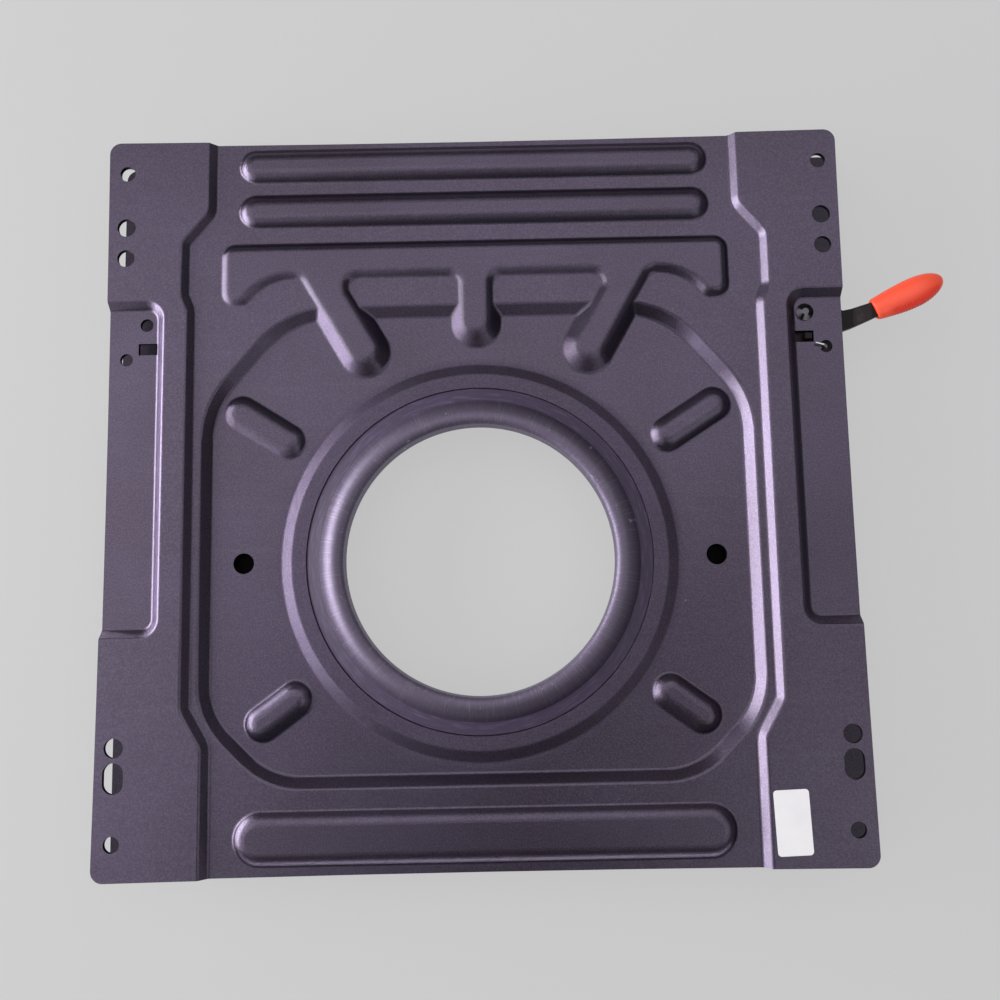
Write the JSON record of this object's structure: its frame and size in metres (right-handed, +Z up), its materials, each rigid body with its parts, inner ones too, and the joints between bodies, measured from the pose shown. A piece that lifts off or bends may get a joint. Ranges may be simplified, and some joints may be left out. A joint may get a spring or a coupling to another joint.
{
  "type": "swivel seat base",
  "caption": "Low swivel base for a vehicle seat: pressed steel floor and seat plates turning on a rolled hub ring, with a sprung lever latch and red grip.",
  "frame": {"origin": "the swivel axis at floor level, midway across the plates", "axes": "+Z up along the swivel axis, +Y to the rear edge with the comb bead, +X to the side with the lever"},
  "size_m": [0.5067, 0.4341, 0.0406],
  "materials": {
    "plate_coat": "satin",
    "hub_steel": "satin",
    "slide_plastic": "matte",
    "zinc_steel": "satin",
    "spring_steel": "gloss",
    "lever_coat": "satin",
    "grip_plastic": "gloss",
    "label_film": "matte"
  },
  "bodies": {
    "lower": {"lower_plate": "plate_coat", "hub_ring": "hub_steel", "lower_slide_ring": "slide_plastic"},
    "upper": {"upper_plate": "plate_coat", "upper_slide_ring": "slide_plastic", "label": "label_film", "pivot_rivet": "zinc_steel", "upper_washer": "zinc_steel", "lower_washer": "zinc_steel", "return_spring": "spring_steel"},
    "lever": {"lever": "lever_coat", "lever_grip": "grip_plastic"}
  },
  "joints": [
    {"name": "swivel", "type": "hinge", "parent": "lower", "child": "upper", "pos_m": [0, 0, 0.03], "axis": [0, 0, 1], "range_deg": [-180, 180]},
    {"name": "lever", "type": "hinge", "parent": "upper", "child": "lever", "pos_m": [0.1974, 0.1438, 0.02895], "axis": [0, 0, -1], "range_deg": [0, 10], "stiffness_Nm_per_rad": 0.6, "springref_deg": 28.65, "deforming": ["return_spring"]}
  ]
}
